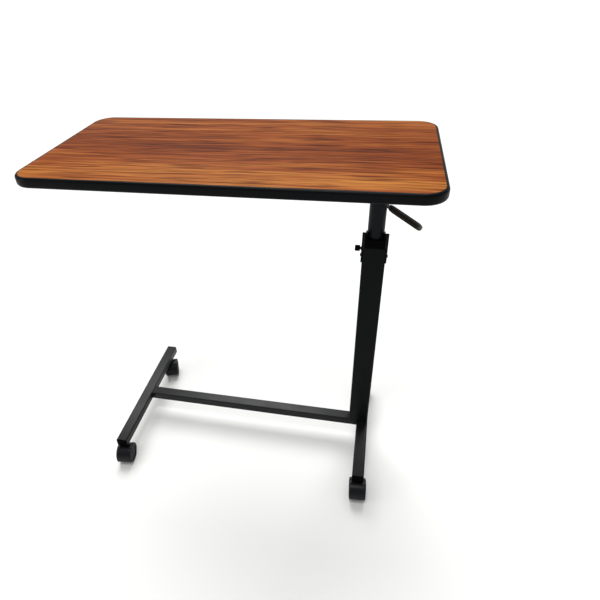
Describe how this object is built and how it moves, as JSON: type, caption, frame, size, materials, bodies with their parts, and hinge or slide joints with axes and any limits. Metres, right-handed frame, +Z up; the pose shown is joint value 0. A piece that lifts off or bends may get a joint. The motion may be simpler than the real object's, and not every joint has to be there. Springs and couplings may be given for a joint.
{
  "type": "overbed table",
  "caption": "Height-adjustable overbed table: wood-grain top on a telescoping mast, black column, H-shaped base on swivel casters, release lever.",
  "frame": {"origin": "on the floor, at the middle of the object's footprint", "axes": "+Z up, +X towards the column end along the length of the top, -Y towards the user, who sees the thumb screw on the left of the column"},
  "size_m": [0.79, 0.4178, 0.82],
  "materials": {
    "frame_paint": "satin black powder coat, fine texture",
    "column_paint": "satin black powder coat",
    "cheek_paint": "satin black paint",
    "mast_paint": "smooth semi-gloss black paint",
    "plug_plastic": "moulded black polyethylene",
    "hood_plastic": "moulded black nylon, satin",
    "wheel_nylon": "moulded black nylon tread",
    "guide_plastic": "moulded black acetal",
    "shoe_nylon": "natural nylon",
    "zinc_steel": "bright zinc plate",
    "black_screws": "black zinc",
    "knob_plastic": "moulded black plastic, knurled",
    "spring_paint": "gloss black paint",
    "brass_piston": "machined",
    "rod_chrome": "hard chrome, ground",
    "lever_steel": "black paint on flat bar",
    "grip_vinyl": "dark dipped vinyl, worn grey at the tip",
    "board_core": "chipboard",
    "wood_laminate": "teak-pattern melamine laminate, satin",
    "backing": "plain brown melamine backing paper",
    "edge_pvc": "extruded black PVC edge strip, satin"
  },
  "bodies": {
    "base": {"left_foot_rail": "frame_paint", "right_foot_rail": "frame_paint", "cross_tube": "frame_paint", "column_tube": "column_paint", "column_foot_plate": "frame_paint", "end_plug_left_front": "plug_plastic", "end_plug_left_back": "plug_plastic", "end_plug_right_front": "plug_plastic", "end_plug_right_back": "plug_plastic", "caster_socket_left_front": "zinc_steel", "caster_socket_left_back": "zinc_steel", "caster_socket_right_front": "zinc_steel", "caster_socket_right_back": "zinc_steel", "caster_stem_left_front": "zinc_steel", "caster_stem_left_back": "zinc_steel", "caster_stem_right_front": "zinc_steel", "caster_stem_right_back": "zinc_steel", "guide_block": "guide_plastic", "left_cheek": "cheek_paint", "right_cheek": "cheek_paint", "cheek_screws": "black_screws", "thumb_screw_bush": "black_screws", "gas_spring_cylinder": "spring_paint", "gas_spring_nut": "zinc_steel"},
    "mast": {"mast_tube": "mast_paint", "mast_shoe": "shoe_nylon", "mast_head_block": "zinc_steel", "gas_spring_rod": "rod_chrome", "gas_spring_piston": "brass_piston", "lever_pivot_pin": "mast_paint", "mount_plate": "frame_paint", "mount_hub": "frame_paint", "plate_screws": "zinc_steel", "tabletop_board": "board_core", "laminate_sheet": "wood_laminate", "backing_sheet": "backing", "edge_strip": "edge_pvc"},
    "lever": {"release_lever": "lever_steel", "lever_grip": "grip_vinyl"},
    "release_pin": {"release_pin": "rod_chrome"},
    "thumb_stud": {"thumb_screw_stud": "black_screws"},
    "thumb_knob": {"thumb_screw_knob": "knob_plastic"},
    "caster_left_front": {"caster_hood_left_front": "hood_plastic", "axle_left_front": "zinc_steel"},
    "wheel_left_front_a": {"wheel_left_front_a": "wheel_nylon"},
    "wheel_left_front_b": {"wheel_left_front_b": "wheel_nylon"},
    "caster_left_back": {"caster_hood_left_back": "hood_plastic", "axle_left_back": "zinc_steel"},
    "wheel_left_back_a": {"wheel_left_back_a": "wheel_nylon"},
    "wheel_left_back_b": {"wheel_left_back_b": "wheel_nylon"},
    "caster_right_front": {"caster_hood_right_front": "hood_plastic", "axle_right_front": "zinc_steel"},
    "wheel_right_front_a": {"wheel_right_front_a": "wheel_nylon"},
    "wheel_right_front_b": {"wheel_right_front_b": "wheel_nylon"},
    "caster_right_back": {"caster_hood_right_back": "hood_plastic", "axle_right_back": "zinc_steel"},
    "wheel_right_back_a": {"wheel_right_back_a": "wheel_nylon"},
    "wheel_right_back_b": {"wheel_right_back_b": "wheel_nylon"}
  },
  "joints": [
    {"name": "mast_lift", "type": "slide", "parent": "base", "child": "mast", "axis": [0, 0, 1], "range_m": [-0.045, 0.285]},
    {"name": "release_lever_pull", "type": "hinge", "parent": "mast", "child": "lever", "pos_m": [0.296, 0.01291, 0.714], "axis": [0, -1, 0], "range_deg": [0, 12], "stiffness_Nm_per_rad": 2, "springref_deg": -5.73},
    {"name": "release_pin_press", "type": "slide", "parent": "mast", "child": "release_pin", "axis": [0, 0, -1], "range_m": [0, 0.0024]},
    {"name": "thumb_stud_travel", "type": "slide", "parent": "base", "child": "thumb_stud", "axis": [-1, 0, 0], "range_m": [0, 0.002]},
    {"name": "thumb_knob_turn", "type": "hinge", "parent": "thumb_stud", "child": "thumb_knob", "pos_m": [0.257, 0.01291, 0.608], "axis": [-1, 0, 0], "range_deg": [0, 721]},
    {"name": "swivel_left_front", "type": "hinge", "parent": "base", "child": "caster_left_front", "pos_m": [-0.334, -0.15909, 0.05], "axis": [0, 0, 1], "continuous": true},
    {"name": "roll_left_front_a", "type": "hinge", "parent": "caster_left_front", "child": "wheel_left_front_a", "pos_m": [-0.33122, -0.17889, 0.025], "axis": [0.9903, 0.1392, 0], "continuous": true},
    {"name": "roll_left_front_b", "type": "hinge", "parent": "caster_left_front", "child": "wheel_left_front_b", "pos_m": [-0.33122, -0.17889, 0.025], "axis": [0.9903, 0.1392, 0], "continuous": true},
    {"name": "swivel_left_back", "type": "hinge", "parent": "base", "child": "caster_left_back", "pos_m": [-0.334, 0.18491, 0.05], "axis": [0, 0, 1], "continuous": true},
    {"name": "roll_left_back_a", "type": "hinge", "parent": "caster_left_back", "child": "wheel_left_back_a", "pos_m": [-0.32716, 0.16612, 0.025], "axis": [0.9397, 0.342, 0], "continuous": true},
    {"name": "roll_left_back_b", "type": "hinge", "parent": "caster_left_back", "child": "wheel_left_back_b", "pos_m": [-0.32716, 0.16612, 0.025], "axis": [0.9397, 0.342, 0], "continuous": true},
    {"name": "swivel_right_front", "type": "hinge", "parent": "base", "child": "caster_right_front", "pos_m": [0.298, -0.15909, 0.05], "axis": [0, 0, 1], "continuous": true},
    {"name": "roll_right_front_a", "type": "hinge", "parent": "caster_right_front", "child": "wheel_right_front_a", "pos_m": [0.2994, -0.17904, 0.025], "axis": [0.9976, 0.0698, 0], "continuous": true},
    {"name": "roll_right_front_b", "type": "hinge", "parent": "caster_right_front", "child": "wheel_right_front_b", "pos_m": [0.2994, -0.17904, 0.025], "axis": [0.9976, 0.0698, 0], "continuous": true},
    {"name": "swivel_right_back", "type": "hinge", "parent": "base", "child": "caster_right_back", "pos_m": [0.298, 0.18491, 0.05], "axis": [0, 0, 1], "continuous": true},
    {"name": "roll_right_back_a", "type": "hinge", "parent": "caster_right_back", "child": "wheel_right_back_a", "pos_m": [0.29384, 0.16535, 0.025], "axis": [0.9781, -0.2079, 0], "continuous": true},
    {"name": "roll_right_back_b", "type": "hinge", "parent": "caster_right_back", "child": "wheel_right_back_b", "pos_m": [0.29384, 0.16535, 0.025], "axis": [0.9781, -0.2079, 0], "continuous": true}
  ],
  "couplings": [
    {"joint": "release_pin_press", "follows": "release_lever_pull", "m_per_rad": 0.011},
    {"joint": "thumb_knob_turn", "follows": "thumb_stud_travel", "rad_per_m": 6283.2}
  ]
}
